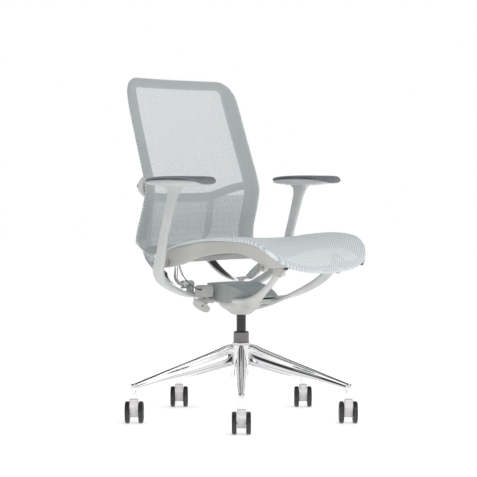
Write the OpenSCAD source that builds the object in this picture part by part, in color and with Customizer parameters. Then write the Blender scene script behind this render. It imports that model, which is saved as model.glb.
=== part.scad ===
// Mesh task chair on a five-star base, in millimetres.
// +Z is up, the seat faces -Y, and the column stands on the origin of the floor.

/* [Base and casters] */
// Distance from the column to each caster stem
base_reach = 328; // [310:1:340]
// Height of the base's hub top above the floor
base_top = 229; // [224:1:233]
// Turn of the base against the seat, in degrees
base_turn = -49; // [-180:1:180]
// Diameter of a caster wheel
wheel_d = 64; // [60:1:66]
// Width of one caster wheel
wheel_w = 14; // [10:1:16]
// Gap between the two wheels of a caster
wheel_gap = 26; // [24:1:28]
// Distance of the axle behind the caster stem
caster_trail = 17; // [12:1:20]

/* [Gas lift] */
// Radius of the lift's outer tube
tube_r = 23; // [22:0.5:24]
// Radius of the lift's sliding cylinder
rod_r = 14; // [13:0.5:14.5]
// Height of the outer tube's top
tube_top = 258; // [256:1:264]
// Length of the sliding cylinder that shows below the yoke
lift_out = 54; // [50:1:58]

/* [Seat] */
// Half the width of the seat across its side plates
seat_half = 235; // [228:1:238]
// Height of the arched side rails at their crest
seat_crest = 551; // [546:1:556]
// Thickness of the side plates
plate_t = 11; // [9:1:12]

/* [Back] */
// Height of the backrest's top edge
back_top = 1009; // [990:1:1020]
// How far the middle of the back lies behind its edges
back_hollow = 34; // [20:1:40]
// Width of the back frame's sides
frame_side = 50; // [36:1:56]
// Width of the back frame's top and bottom
frame_top = 27; // [20:1:34]

/* [Arms] */
// Distance of each arm post from the middle
arm_x = 283; // [281:1:288]
// Height of the arm pads' tops
arm_top = 721; // [715:1:726]
// Length of an arm pad
pad_l = 244; // [236:1:252]

/* [Recline mechanism] */
// Distance of the recline pivot behind the column
pivot_y = 105; // [104:1:106]
// Height of the recline pivot
pivot_z = 402; // [401:1:403]
// Radius of the pivot pins
pin_r = 6; // [5:0.5:6]
// Radial clearance of every turning pin
run_fit = 0.06; // [0.03:0.01:0.09]
// Largest recline, in degrees
recline_max = 20; // [10:1:20]
// Share of the recline by which the seat tilts back
seat_share = 0.06; // [0.05:0.01:0.07]

/* [Hidden] */
caster_names = ["caster_housing_", "caster_axle_", "caster_wheel_a_", "caster_wheel_b_"];

light_grey = [0.72, 0.72, 0.69];
warm_grey = [0.68, 0.68, 0.65];
shade_grey = [0.52, 0.55, 0.54];
slate = [0.38, 0.40, 0.43];
polished = [0.82, 0.82, 0.84];
mesh_white = [0.86, 0.90, 0.93];
near_black = [0.08, 0.08, 0.09];

wheel_r = wheel_d / 2;
rod_low = 182;
tube_low = 128;
rod_high = tube_top + lift_out + 33;
seat_pin = [seat_half - 16, 70, 472];
guide_pin = [152, -275, 467];
guide_r = 5;

// Cubic curve through hand-set points or values, k steps between each two
function blend_at(a, b, c, d, t) =
    0.5 * (2*b + (c - a)*t + (2*a - 5*b + 4*c - d)*t*t + (3*b - a - 3*c + d)*t*t*t);
function smooth(p, k) = let (n = len(p) - 1) concat(
    [for (i = [0:n - 1]) for (j = [0:k - 1])
        blend_at(p[max(i - 1, 0)], p[i], p[i + 1], p[min(i + 2, n)], j / k)], [p[n]]);
function smooth_loop(p, k) = let (n = len(p))
    [for (i = [0:n - 1]) for (j = [0:k - 1])
        blend_at(p[(i + n - 1) % n], p[i], p[(i + 1) % n], p[(i + 2) % n], j / k)];
function unit(v) = v / norm(v);
function soft_power(c, e) = sign(c) * pow(abs(c), e);
// Round-edged section with n points: e is 1 for an ellipse and near 0 for a box
function section(n, e) = [for (i = [0:n - 1])
    [soft_power(cos(360 * i / n), e) / 2, soft_power(sin(360 * i / n), e) / 2]];
// One ring of a swept bar: shape s, width w along side, thickness t across it
function ring(at, along, side, s, w, t) = let (
    u = unit(side - (side * along) * along), v = cross(along, u))
    [for (q = s) at + u * q[0] * w + v * q[1] * t];

// Open bar swept through path p, with widths w and thicknesses t at its points
module bar(p, w, t, side, k = 4, s = section(12, 0.6)) {
    path = smooth(p, k);
    ws = smooth(w, k);
    ts = smooth(t, k);
    last = len(path) - 1;
    n = len(s);
    sides = is_num(side[0]) ? [for (i = [0:last]) side] : smooth(side, k);
    points = [for (i = [0:last])
        let (along = unit(path[min(i + 1, last)] - path[max(i - 1, 0)]))
        each ring(path[i], along, sides[i], s, ws[i], ts[i])];
    walls = [for (i = [0:last - 1]) for (j = [0:n - 1]) let (a = i*n + j, b = i*n + (j + 1) % n)
        each [[a, b + n, b], [a, a + n, b + n]]];
    start = [for (j = [0:n - 1]) j];
    end = [for (j = [n - 1:-1:0]) last*n + j];
    polyhedron(points, concat([start], walls, [end]), convexity = 8);
}

// Closed bar swept round loop p, with a width direction for each point
module hoop(p, w, t, side, k = 3, s = section(8, 0.6)) {
    path = smooth_loop(p, k);
    ws = smooth_loop(w, k);
    ts = smooth_loop(t, k);
    sides = smooth_loop(side, k);
    m = len(path);
    n = len(s);
    points = [for (i = [0:m - 1])
        let (along = unit(path[(i + 1) % m] - path[(i + m - 1) % m]))
        each ring(path[i], along, sides[i], s, ws[i], ts[i])];
    walls = [for (i = [0:m - 1]) for (j = [0:n - 1])
        let (a = i*n + j, b = i*n + (j + 1) % n, c = ((i + 1) % m)*n + j, d = ((i + 1) % m)*n + (j + 1) % n)
        each [[a, d, b], [a, c, d]]];
    polyhedron(points, walls, convexity = 8);
}

// Thin sheet between two grids of points, rows by columns, with its edges closed
module sheet(front, rear) {
    rows = len(front);
    cols = len(front[0]);
    size = rows * cols;
    points = concat([for (r = front) each r], [for (r = rear) each r]);
    cells = [for (i = [0:rows - 2]) for (j = [0:cols - 2]) let (a = i*cols + j, b = a + cols)
        each [[a, a + 1, b + 1], [a, b + 1, b], [a + size, b + 1 + size, a + 1 + size],
            [a + size, b + size, b + 1 + size]]];
    ends = [for (j = [0:cols - 2]) let (a = j, b = (rows - 1)*cols + j)
        each [[a, a + size, a + 1 + size], [a, a + 1 + size, a + 1],
              [b, b + 1, b + 1 + size], [b, b + 1 + size, b + size]]];
    edges = [for (i = [0:rows - 2]) let (a = i*cols, b = a + cols - 1)
        each [[a, a + cols, a + cols + size], [a, a + cols + size, a + size],
              [b, b + size, b + cols + size], [b, b + cols + size, b + cols]]];
    polyhedron(points, concat(cells, ends, edges), convexity = 8);
}

// Mirror image for the sitter's left side
module both_sides() {
    children();
    mirror([1, 0, 0]) children();
}

module rod_x(x1, x2, y, z, r) {
    translate([x1, y, z]) rotate([0, 90, 0]) cylinder(h = x2 - x1, r = r, $fn = 40);
}

// ---- Base, casters and gas lift ----

module at_leg(i) {
    rotate([0, 0, base_turn + 72 * (i - 1)]) translate([0, -base_reach, 0]) children();
}

// Casters all stand with their axles along the same line at rest
module at_caster(i) {
    turn = base_turn + 72 * (i - 1);
    translate([base_reach * sin(turn), -base_reach * cos(turn), 0]) rotate([0, 0, base_turn]) children();
}

leg_shape = [[0.50, -0.40], [0.44, -0.10], [0.32, 0.10], [0.34, 0.30], [0.24, 0.44], [0, 0.50],
             [-0.24, 0.44], [-0.34, 0.30], [-0.32, 0.10], [-0.44, -0.10], [-0.50, -0.40], [-0.40, -0.5],
                 [0.40, -0.5]];

module star_base() {
    color(polished) difference() {
        union() {
            rotate_extrude($fn = 72)
                polygon([[0, 126], [29, 126], [31, 129], [31.5, 170], [30.5, 205], [29, 220],
                         [28.5, base_top - 2], [27, base_top], [0, base_top]]);
            for (i = [1:5]) rotate([0, 0, base_turn + 72 * (i - 1)])
                bar([[0, -25, 193], [0, -36, 192], [0, -66, 182], [0, -140, 160.5], [0, -236, 136],
                    [0, -330, 108]],
                    [24, 30, 38, 34, 27, 17], [58, 62, 58, 47, 28, 16], [1, 0, 0], 2, leg_shape);
            for (i = [1:5]) at_leg(i) {
                translate([0, 0, 74]) cylinder(h = 40, r = 10.5, $fn = 40);
                translate([0, 0, 114]) cylinder(h = 3, r1 = 10.5, r2 = 8, $fn = 40);
            }
        }
        translate([0, 0, 110]) cylinder(h = 130, r = tube_r, $fn = 72);
        for (i = [1:5]) at_leg(i) translate([0, 0, 70]) cylinder(h = 26, r = 5.5, $fn = 40);
    }
}

module caster_stems() {
    color(polished) for (i = [1:5]) at_caster(i) {
        translate([0, 0, 46]) cylinder(h = 50, r = 5.5, $fn = 40);
        translate([0, 0, 72.6]) cylinder(h = 1.4, r = 9, $fn = 40);
    }
}

module caster_housing(i) {
    color(light_grey) at_caster(i) difference() {
        union() {
            translate([-12.2, 0, 0]) rotate([90, 0, 90]) linear_extrude(24.4) union() {
                translate([caster_trail, wheel_r]) circle(r = 15, $fn = 48);
                translate([0, 56]) circle(r = 12.2, $fn = 48);
                polygon([[-12.2, 56], [caster_trail - 14, wheel_r - 5],
                    [caster_trail + 14.6, wheel_r + 3], [11.5, 60]]);
            }
            translate([0, 0, 56]) cylinder(h = 13, r = 12.2, $fn = 48);
            translate([0, 0, 68]) cylinder(h = 4.2, r = 13.6, $fn = 48);
        }
        translate([0, 0, 44]) cylinder(h = 40, r = 5.5 + run_fit, $fn = 40);
        rod_x(-20, 20, caster_trail, wheel_r, 4);
    }
}

module caster_axle(i) {
    reach = wheel_gap / 2 + wheel_w - 1;
    color(polished) at_caster(i) rod_x(-reach, reach, caster_trail, wheel_r, 4);
}

// One wheel: a soft tread round a dished disc, side is 1 or -1
module caster_wheel(i, side) {
    inner = wheel_gap / 2 + 0.2;
    color(near_black) at_caster(i) translate([0, caster_trail, wheel_r]) rotate([0, side * 90, 0])
        translate([0, 0, inner]) rotate_extrude($fn = 64)
            polygon([[4 + run_fit, 0], [10, 0], [10, 1.5], [wheel_r - 7, 1.5], [wheel_r - 5, 0],
                [wheel_r - 2, 0],
                     [wheel_r - 0.5, 1], [wheel_r, 3], [wheel_r, wheel_w - 4], [wheel_r - 1, wheel_w - 1.6],
                     [wheel_r - 4, wheel_w - 0.3], [wheel_r - 6, wheel_w - 0.2], [wheel_r - 7, wheel_w - 2],
                     [11, wheel_w - 2], [10, wheel_w - 0.4], [4 + run_fit, wheel_w - 0.4]]);
}

module lift_tube() {
    color(shade_grey) difference() {
        translate([0, 0, tube_low]) cylinder(h = tube_top - tube_low, r = tube_r, $fn = 72);
        translate([0, 0, tube_low + 4]) cylinder(h = 200, r = 18, $fn = 72);
        translate([0, 0, tube_low - 10]) cylinder(h = 30, r = 5.5, $fn = 40);
    }
}

// Guide bush at the tube's mouth and thrust ring on its floor
module lift_bearings() {
    color(near_black) difference() {
        union() {
            translate([0, 0, 196]) cylinder(h = tube_top - 196, r = 18, $fn = 72);
            translate([0, 0, tube_top]) cylinder(h = 3, r = 21, $fn = 72);
        }
        translate([0, 0, 190]) cylinder(h = 90, r = rod_r + run_fit, $fn = 72);
    }
    color(near_black) difference() {
        translate([0, 0, tube_low + 4]) cylinder(h = 4, r = 15, $fn = 48);
        translate([0, 0, tube_low]) cylinder(h = 20, r = 6, $fn = 40);
    }
}

module piston_rod() {
    color(polished) {
        translate([0, 0, tube_low - 2]) cylinder(h = 152, r = 5, $fn = 40);
        translate([0, 0, tube_low + 8.2]) cylinder(h = 3, r = 11, $fn = 40);
    }
}

module lift_cylinder() {
    color(near_black) difference() {
        translate([0, 0, rod_low]) cylinder(h = rod_high - rod_low, r = rod_r, $fn = 72);
        translate([0, 0, rod_low - 10]) cylinder(h = 150, r = 5 + run_fit, $fn = 40);
        translate([0, 0, rod_high - 16]) cylinder(h = 20, r = 3 + run_fit, $fn = 32);
    }
}

module valve_pin() {
    color(polished) translate([0, 0, rod_high - 11]) cylinder(h = 17, r = 3, $fn = 32);
}

// ---- Yoke: hub and front arms ----

front_arm = [[-30, -5, 341], [-50, -52, 348], [-72, -104, 361], [-94, -157, 384], [-112, -210, 417],
    [-121, -250, 456]];
front_lean = [[1, 0.35, -0.45], [1, 0.35, -0.45], [1, 0.35, -0.3], [1, 0.35, -0.1], [1, 0.35, 0],
    [1, 0.35, 0]];

module yoke() {
    color(light_grey) difference() {
        union() {
            rotate_extrude($fn = 72)
                polygon([[0, 312], [27, 312], [30, 314], [42, 323], [58, 333], [66, 341], [66, 350],
                    [0, 350]]);
            both_sides() {
                bar(front_arm, [76, 68, 54, 43, 37, 34], [14, 14, 13, 12, 12, 11], front_lean, 3);
                bar([[-25, 20, 344], [-55, 70, 357], [-92, 96, 368]], [60, 52, 46], [14, 14, 13],
                    [0.25, 1, 0], 3);
            }
            bar([[0, -20, 344], [0, -60, 348], [0, -98, 355]], [120, 124, 130], [12, 12, 11], [1, 0, 0], 3);
        }
        translate([0, 0, 300]) cylinder(h = rod_high - 300, r = rod_r, $fn = 72);
        translate([0, 0, rod_high - 1]) cylinder(h = 30, r = 9, $fn = 48);
        rod_x(-140, -64, lever_y, lever_z, 10.6);
    }
}

function oval(a, b) = [for (t = [0:8:352]) [a * cos(t), b * sin(t) - 4]];

// Half-moon cover over the hub, open inside
module mechanism_cover() {
    outside = [[116, 400], [60, 404], [0, 403], [-40, 395], [-72, 382], [-104, 369], [-76, 361], [-40, 355],
               [0, 350.2], [40, 354], [76, 371], [98, 386]];
    inside = [[70, 396], [0, 398.5], [-38, 390.5], [-66, 378.5], [-82, 371.5], [-66, 366], [-38, 361],
              [0, 356], [38, 360], [66, 376]];
    color(shade_grey) difference() {
        intersection() {
            translate([-80, 0, 0]) rotate([90, 0, 90]) linear_extrude(160) polygon(smooth_loop(outside, 4));
            translate([0, 0, 340]) linear_extrude(80) polygon(oval(76, 121));
        }
        intersection() {
            translate([-80, 0, 0]) rotate([90, 0, 90]) linear_extrude(160) polygon(smooth_loop(inside, 4));
            translate([0, 0, 340]) linear_extrude(80) polygon(oval(72, 117));
        }
        translate([0, 0, 345]) cylinder(h = 20, r = 12, $fn = 48);
        rod_x(-80, -50, 48, 374, 3.4);
    }
}

// Rubber spring that returns the back, inside the cover
module recline_spring() {
    color(near_black) difference() {
        rod_x(-52, 52, -31, 372, 12);
        rod_x(-70, 70, -31, 372, 5);
    }
}

// Bridge over the column that presses the valve pin
module release_actuator() {
    color(near_black) difference() {
        translate([-16, -12, 354]) cube([32, 24, 26]);
        translate([0, 0, 340]) cylinder(h = 32, r = 4, $fn = 40);
        rod_x(-20, -6, 4, 370, 3);
    }
}

module cable(route, across) {
    color(near_black) bar(route, [for (p = route) 5], [for (p = route) 5], across, 2, section(8, 1));
}

// Cable from the control box to the release actuator
module release_cable() {
    cable([[-94, 50, 375], [-84, 50, 374.5], [-72, 48, 374], [-58, 42, 373], [-40, 26, 371],
           [-28, 12, 370], [-18, 4, 370], [-8, 4, 370]], [0, 0, 1]);
}

// Cable from the control box up to the seat's rear pin
module tilt_cable() {
    cable([[-120, 50, 388], [-134, 50, 390], [-154, 52, 399], [-176, 56, 416], [-192, 60, 436],
           [-198, 62, 452], [-200, 63, 462]], [0, 1, 0]);
}

// ---- Arm brackets, rests and pads (drawn for the sitter's right, at -X) ----

arm_curve = [[-92, 96, 368], [-128, 102, 372], [-165, 104, 384], [-203, 102, 399], [-243, 94, 419],
    [-270, 80, 448],
             [-arm_x + 2, 62, 484], [-arm_x, 46, 550], [-arm_x, 32, 595], [-arm_x, 17, 646]];

module arm_bracket() {
    color(light_grey) difference() {
        union() {
            bar(arm_curve, [46, 44, 40, 38, 37, 37, 33, 29, 30, 33],
                [13, 13, 13, 14, 15, 16, 16, 15, 15, 16], [0, 1, 0], 4);
            rod_x(-116, -102, pivot_y, pivot_z, 11);
            translate([-116, pivot_y - 11, 368]) cube([14, 22, pivot_z - 368]);
        }
        rod_x(-120, -95, pivot_y, pivot_z, pin_r);
    }
}

rest_top = arm_top - 10;

module arm_rest() {
    color(light_grey) union() {
        bar([[-arm_x, 17, 646], [-arm_x, 12, 664], [-arm_x, 8.5, 682], [-arm_x, 8, 697]],
            [33, 36, 50, 84], [16, 17, 21, 30], [0, 1, 0], 4);
        bar([[-arm_x - 1, 103, rest_top - 10], [-arm_x, 76, rest_top - 8.5], [-arm_x, 20, rest_top - 8.5],
             [-arm_x, -46, rest_top - 8.5], [-arm_x, -96, rest_top - 7.5], [-arm_x, -119, rest_top - 4]],
            [24, 52, 66, 66, 56, 30], [9, 17, 23, 22, 15, 7], [1, 0, 0], 4);
    }
}

module arm_pad() {
    color(slate) bar([[-arm_x, 107, arm_top - 14], [-arm_x, 92, arm_top - 9.5], [-arm_x, 56, arm_top - 5.5],
         [-arm_x, 0, arm_top - 4], [-arm_x, -64, arm_top - 5], [-arm_x, -100, arm_top - 9.5],
         [-arm_x, -123, arm_top - 13], [-arm_x, 107 - pad_l, arm_top - 15]],
        [22, 48, 68, 74, 74, 72, 60, 34], [6, 6.5, 7, 8, 9.5, 18, 22, 12], [1, 0, 0], 3);
}

// Screws of the pads, and the bolts that hold the brackets to the yoke from below
module arm_screws() {
    color(polished) both_sides() {
        for (y = [60, -50]) translate([-arm_x, y, rest_top - 21]) cylinder(h = 23, r = 3, $fn = 32);
        for (p = [[-84, 91], [-100, 96]]) translate([p[0], p[1], 352]) {
            cylinder(h = 22, r = 3, $fn = 32);
            cylinder(h = 5, r = 5.5, $fn = 32);
        }
    }
}

module pivot_pins() {
    color(polished) both_sides() {
        rod_x(-146, -101, pivot_y, pivot_z, pin_r);
        rod_x(-102, -99, pivot_y, pivot_z, pin_r + 3);
    }
}

// Plate on the front arm's tip with the slot that the seat's guide pin follows
function pin_path(a) = let (
    ry = seat_pin[1] - pivot_y, rz = seat_pin[2] - pivot_z,
    ly = guide_pin[1] - seat_pin[1], lz = guide_pin[2] - seat_pin[2], b = seat_share * a)
    [pivot_y + ry*cos(a) + rz*sin(a) + ly*cos(b) + lz*sin(b),
        pivot_z + rz*cos(a) - ry*sin(a) + lz*cos(b) - ly*sin(b)];

module seat_guides() {
    slot_r = guide_r + 0.8;
    steps = [for (i = [0:10]) pin_path(recline_max * i / 10)];
    color(polished) both_sides() difference() {
        union() {
            translate([-137, 0, 0]) rotate([90, 0, 90]) linear_extrude(10) union() {
                for (a = [0, recline_max]) translate(pin_path(a)) circle(r = 12, $fn = 48);
                polygon([[-287, 466], [-262, 436], [-238, 440], [-235, 485], [-255, 494]]);
            }
            translate([-127.5, -262, 440]) cube([14, 24, 16]);
        }
        translate([-150, 0, 0]) rotate([90, 0, 90]) linear_extrude(30) union() {
            for (a = [0, recline_max]) translate(pin_path(a)) circle(r = slot_r, $fn = 40);
            for (i = [0:9]) slot_piece(steps[i], steps[i + 1], slot_r);
        }
    }
}

module slot_piece(a, b, r) {
    d = unit(b - a);
    n = [-d[1], d[0]] * r;
    polygon([a - n - d*0.1, b - n + d*0.1, b + n + d*0.1, a + n - d*0.1]);
}

// ---- Release control at the sitter's right ----

lever_y = 52;
lever_z = 355;

// Housing over the lever's shaft, with the ring the shaft turns in and a foot on the bracket
module control_box() {
    color(warm_grey) difference() {
        translate([-122, 34, 0]) union() {
            translate([0, 0, 367]) cube([36, 40, 30]);
            translate([2, 2, 397]) cube([32, 36, 3]);
            translate([4, 36, 370]) cube([24, 16, 10]);
            translate([18, 10, 358]) cube([10, 16, 12]);
            rod_x(18, 28, lever_y - 34, lever_z, 10.6);
        }
        rod_x(-96, -80, 50, 375, 2.5);
        rod_x(-124, -118, 50, 388, 2.5);
        rod_x(-150, -70, lever_y, lever_z, 8.5 + run_fit);
    }
}

module lever_shaft() {
    color(warm_grey) {
        rod_x(-136, -71, lever_y, lever_z, 8.5);
        rod_x(-74, -71, lever_y, lever_z, 9.6);
    }
}

paddle_mid = [-124, 46, 340];

module lever_paddle() {
    color(light_grey) union() {
        bar([[-118, 52, 353], [-121, 50, 346], [-124, 47, 340]], [14, 12, 12], [10, 8, 7], [1, 0, 0], 3);
        bar([[-160, 44, 355], [-156, 44, 353], [-142, 45, 347.5], [-124, 46, 340], [-106, 47, 332.5],
             [-92, 48, 327], [-88, 48, 325]],
            [6, 16, 24, 26, 24, 16, 6], [3, 6, 8, 9, 8, 6, 3], [0.3, -0.35, 0.9], 3);
    }
}

module lever_screw() {
    color(polished) translate(paddle_mid) rotate([70, 0, -20]) cylinder(h = 7, r = 3.4, $fn = 32);
}

// ---- Polished back carrier (drawn for the sitter's right) ----

carrier_path = [[-132, pivot_y + 10, pivot_z - 1], [-130, 138, 401], [-128, 177, 416], [-128, 222, 446],
    [-129, 252, 478],
                [-132, 261, 510], [-135, 256, 545], [-136, 249, 590], [-135, 241, 640], [-135, 239.5, 664]];
lug_path = [[-134, pivot_y, pivot_z + 3], [-160, 108, 407], [-185, 103, 425], [-201, 85, 449],
    [-210, 71, 470]];

module carrier() {
    color(polished) difference() {
        union() {
            bar(carrier_path, [24, 30, 40, 44, 44, 42, 38, 36, 36, 34],
                [14, 12, 11, 10, 10, 10, 10, 10, 10, 10], [1, 0, 0], 3);
            bar(lug_path, [24, 31, 37, 31, 20], [12, 10, 10, 11, 11], [0, 1, 0.2], 3);
            rod_x(-147, -118, pivot_y, pivot_z, 12);
            rod_x(-seat_pin[0] + 2, -seat_pin[0] + 15, seat_pin[1], seat_pin[2], 12);
        }
        rod_x(-146.5, -104, pivot_y, pivot_z, 8.5);
        rod_x(-240, -190, seat_pin[1], seat_pin[2], pin_r + run_fit);
    }
}

module carrier_bushes() {
    color(near_black) both_sides() difference() {
        rod_x(-146.5, -118, pivot_y, pivot_z, 8.5);
        rod_x(-150, -100, pivot_y, pivot_z, pin_r + run_fit);
    }
}

// ---- Backrest ----

back_low = 489;
edge_profile = [[1015, 240], [923, 217], [844, 192], [765, 167], [713, 150], [677, 143], [640, 149],
                [597, 160], [555, 172], [525, 172], [489, 152]];
function part_of(z, i) = let (a = edge_profile[i], b = edge_profile[i + 1])
    z >= b[0] || i == len(edge_profile) - 2 ? [i, (a[0] - z) / (a[0] - b[0])] : part_of(z, i + 1);
function edge_y(z) = let (m = len(edge_profile) - 1, s = part_of(z, 0), i = s[0])
    blend_at(edge_profile[max(i - 1, 0)][1], edge_profile[i][1], edge_profile[i + 1][1],
             edge_profile[min(i + 2, m)][1], s[1]);
function half_back(z) = 252 + (640 - z) * 0.04;
// Place on the back's face: x across, z up, and d behind the face
function on_back(x, z, d) = let (q = x / half_back(z)) [x, edge_y(z) + back_hollow * (1 - q*q) + d, z];

// Round-cornered outline of the back, inset from its edge
function back_outline(inset) = let (
    top = back_top - inset, low = back_low + inset, r = 62 - inset * 0.7, q = 52 - inset * 0.7,
    right = [for (z = [low + q + 30, 590, 620, 650, 677, 705, 740, 790, 850,
        top - r - 25]) [half_back(z) - inset, z]],
    arc_top = [for (a = [10:20:90]) [half_back(top) - inset - r + r*cos(a), top - r + r*sin(a)]],
    arc_low = [for (a = [-90:20:-10]) [half_back(low) - inset - q + q*cos(a), low + q + q*sin(a)]],
    half = concat([[70, low]], [[140, low]], arc_low, right, arc_top, [[120, top], [50, top]]))
    concat(half, [for (i = [len(half) - 1:-1:0]) [-half[i][0], half[i][1]]]);

module back_frame() {
    outer = back_outline(0);
    n = len(outer);
    inward = [for (i = [0:n - 1])
        let (a = outer[(i + n - 1) % n], b = outer[(i + 1) % n], d = unit([b[0] - a[0],
            b[1] - a[1]])) [-d[1], d[0]]];
    widths = [for (v = inward) frame_side + (frame_top - frame_side) * v[1] * v[1]];
    far = [for (p = outer) on_back(p[0], p[1], 7)];
    near = [for (i = [0:n - 1]) let (p = outer[i] + inward[i] * widths[i]) on_back(p[0], p[1], 7)];
    across = [for (i = [0:n - 1]) unit(near[i] - far[i])];
    color(warm_grey) hoop((far + near) / 2, widths, [for (p = outer) 10], across, 2);
}

// Panel on the back's face with rounded corners: gap to the outline, corner radius curl, front at depth d
module back_panel(gap, z1, z2, d, curl, rows, cols) {
    grid = [for (y = [d, d + 3]) [for (i = [0:rows])
        let (z = z1 + (z2 - z1) * (1 - cos(180 * i / rows)) / 2, near = min(z - z1, z2 - z))
        let (trim = near < curl ? curl - sqrt(curl*curl - pow(curl - near, 2)) : 0,
            half = half_back(z) - gap - trim)
        [for (j = [0:cols]) on_back((2 * j / cols - 1) * half, z, y)]]];
    sheet(grid[0], grid[1]);
}

module back_mesh() {
    color(mesh_white) back_panel(2, back_low + 2, back_top - 2, -1.5, 58, 26, 16);
}

module lumbar_mesh() {
    color(mesh_white) back_panel(40, back_low + 18, 664, 13, 10, 10, 12);
}

module lumbar_crossbar() {
    color(warm_grey) union() {
        bar([[-241, 178, 691], [-222, 196, 687], [-190, 213, 678], [-150, 227, 664], [-110, 234, 656],
            [0, 238, 654],
             [110, 234, 656], [150, 227, 664], [190, 213, 678], [222, 196, 687], [241, 178, 691]],
            [24, 25, 26, 26, 26, 26, 26, 26, 26, 25, 24], [10, 9, 9, 9, 9, 9, 9, 9, 9, 9, 10], [0, 0, 1], 3);
    }
}

module back_knuckles() {
    color(light_grey) both_sides() bar([[-240, 161, 713], [-240, 168, 705], [-240, 173, 691],
        [-240, 170, 677], [-240, 161, 664]],
        [16, 22, 25, 22, 14], [12, 18, 22, 18, 10], [1, 0, 0], 3);
}

module knuckle_caps() {
    color(near_black) both_sides() translate([-240, 180, 691]) rotate([-90, 0, 0]) cylinder(h = 7, r = 8,
        $fn = 40);
}

// ---- Seat ----

// Middle line of the side plates and front rail, from the rear, and their heights
shell_mid = [[-190, 116, 476], [-226, 96, 478], [-235, 70, 483], [-235, 20, 493], [-235, -45, 510],
    [-235, -110, 519], [-235, -165, 521.5], [-234, -212, 519], [-228, -256, 504.5], [-212, -290, 487],
    [-176, -312, 474], [-116, -322, 463], [-40, -326, 459.5]];
shell_height = [22, 44, 50, 50, 42, 37, 33, 33, 38, 44, 28, 20, 17];
function mirrored(p) = [for (i = [len(p) - 1:-1:0]) [-p[i][0], p[i][1], p[i][2]]];
function reversed(p) = [for (i = [len(p) - 1:-1:0]) p[i]];

module seat_shell() {
    path = concat(shell_mid, mirrored(shell_mid), [[60, 126, 474], [-60, 126, 474]]);
    high = concat(shell_height, reversed(shell_height), [16, 16]);
    color(warm_grey) difference() {
        union() {
            hoop(path, high, [for (p = path) plate_t], [for (p = path) [0, 0, 1]], 3, section(8, 0.45));
            both_sides() {
                rod_x(-seat_half - 5.5, -seat_half + 5.5, seat_pin[1], seat_pin[2], 13);
                rod_x(-227, -213, guide_pin[1], guide_pin[2], 12);
            }
        }
        rod_x(-300, 300, seat_pin[1], seat_pin[2], pin_r);
        rod_x(-300, 300, guide_pin[1], guide_pin[2], guide_r);
    }
}

// Height of the seat's surface: arched like the side rails, a little lower in the middle
seat_line = [[128, 496], [84, 510], [30, 527], [-35, 539], [-100, 547], [-160, 551], [-210, 549],
    [-255, 540], [-288, 521], [-314, 497], [-334, 470]];
function seat_part(y, i) = let (a = seat_line[i], b = seat_line[i + 1])
    y >= b[0] || i == len(seat_line) - 2 ? [i, (a[0] - y) / (a[0] - b[0])] : seat_part(y, i + 1);
function rail_z(y) = let (m = len(seat_line) - 1, s = seat_part(y, 0), i = s[0])
    blend_at(seat_line[max(i - 1, 0)][1], seat_line[i][1], seat_line[i + 1][1],
        seat_line[min(i + 2, m)][1], s[1]);
function on_seat(x, y, d) = let (q = x / 236) [x, y, rail_z(y) - 9 * (1 - q*q) + d + (seat_crest - 551)];

function rim_points(s) = let (half = [for (p = shell_mid) [p[0] * s, p[1] * s + (s - 1) * 106, 0]])
    concat(half, mirrored(half), [[60, 126 * s, 0], [-60, 126 * s, 0]]);

// Beside each point of the side plates: depth of the rim's foot and top below the seat's surface, and its width
rim_foot = [12, 9, 10, 13, 13, 14, 16, 17, 18, 17, 16, 14, 12];
rim_head = [1, 1, 1, 1, 1, 1, 1, 1.5, 2.5, 4, 5.5, 6.5, 7];
rim_width = [12, 12, 12, 12, 12, 12, 12, 12, 11, 9, 7, 6, 6];

module seat_mesh_rim() {
    foot = concat(rim_foot, reversed(rim_foot), [8, 8]);
    head = concat(rim_head, reversed(rim_head), [1, 1]);
    wide = concat(rim_width, reversed(rim_width), [12, 12]);
    points = rim_points(0.992);
    path = [for (i = [0:len(points) - 1]) on_seat(points[i][0], points[i][1], -(foot[i] + head[i]) / 2)];
    color(shade_grey) hoop(path, wide, foot - head, [for (p = path) unit([p[0], p[1] * 0.6, 0])], 3);
}

module seat_mesh() {
    rows = 28;
    cols = 14;
    grid = [for (d = [1, -2]) [for (i = [0:rows]) let (y = 122 - 454 * (1 - cos(180 * i / rows)) / 2)
        let (f = max(0, -y - 200) / 133, g = max(0, y - 70) / 56)
        let (trim = 144 * (1 - pow(1 - pow(f, 3), 0.45)) + 52 * (1 - sqrt(1 - g*g)))
        [for (j = [0:cols]) on_seat((2 * j / cols - 1) * (233 - trim), y, d)]]];
    color(mesh_white) sheet(grid[0], grid[1]);
}

// Rear pins in the carriers' ears and front pins in the guide slots
module seat_pins() {
    color(polished) both_sides() {
        rod_x(-seat_half - 7, -seat_pin[0] + 16, seat_pin[1], seat_pin[2], pin_r);
        rod_x(-seat_half - 8.5, -seat_half - 5.5, seat_pin[1], seat_pin[2], 8);
        rod_x(-222, -125, guide_pin[1], guide_pin[2], guide_r);
        rod_x(-226, -221, guide_pin[1], guide_pin[2], 7);
    }
}

module seat_bumpers() {
    color(near_black) both_sides() translate([-172, -312, 453]) cylinder(h = 9, r = 6, $fn = 32);
}

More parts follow.
